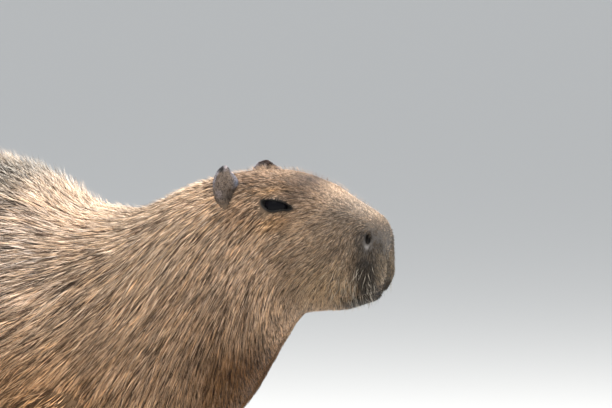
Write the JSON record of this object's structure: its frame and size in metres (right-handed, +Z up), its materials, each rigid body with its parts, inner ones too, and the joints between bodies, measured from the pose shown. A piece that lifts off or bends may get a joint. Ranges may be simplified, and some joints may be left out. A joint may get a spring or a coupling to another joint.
{
  "type": "capybara",
  "caption": "Life-size standing capybara as a still museum model, with a blunt muzzle, small cupped ears and a coarse brown coat of overlapping locks.",
  "frame": {"origin": "on the floor under the middle of the animal's bounding box", "axes": "+X towards the nose, +Y to the animal's left, +Z up"},
  "size_m": [1.0504, 0.2976, 0.5562],
  "materials": {
    "coat": "coarse matt hair",
    "ear_skin": "matt, thinly haired skin",
    "eye": "polished, opaque near black",
    "foot_skin": "matt wrinkled skin",
    "claw_horn": "satin horn"
  },
  "bodies": {
    "root": {"head": "coat", "neck": "coat", "torso": "coat", "tail": "coat", "ear_right": "ear_skin", "eye_right": "eye", "foreleg_right": "coat", "forefoot_right": "foot_skin", "foreclaw_right_1": "claw_horn", "foreclaw_right_2": "claw_horn", "foreclaw_right_3": "claw_horn", "foreclaw_right_4": "claw_horn", "hindleg_right": "coat", "hindfoot_right": "foot_skin", "hindclaw_right_1": "claw_horn", "hindclaw_right_2": "claw_horn", "hindclaw_right_3": "claw_horn", "ear_left": "ear_skin", "eye_left": "eye", "foreleg_left": "coat", "forefoot_left": "foot_skin", "foreclaw_left_1": "claw_horn", "foreclaw_left_2": "claw_horn", "foreclaw_left_3": "claw_horn", "foreclaw_left_4": "claw_horn", "hindleg_left": "coat", "hindfoot_left": "foot_skin", "hindclaw_left_1": "claw_horn", "hindclaw_left_2": "claw_horn", "hindclaw_left_3": "claw_horn"}
  },
  "joints": []
}
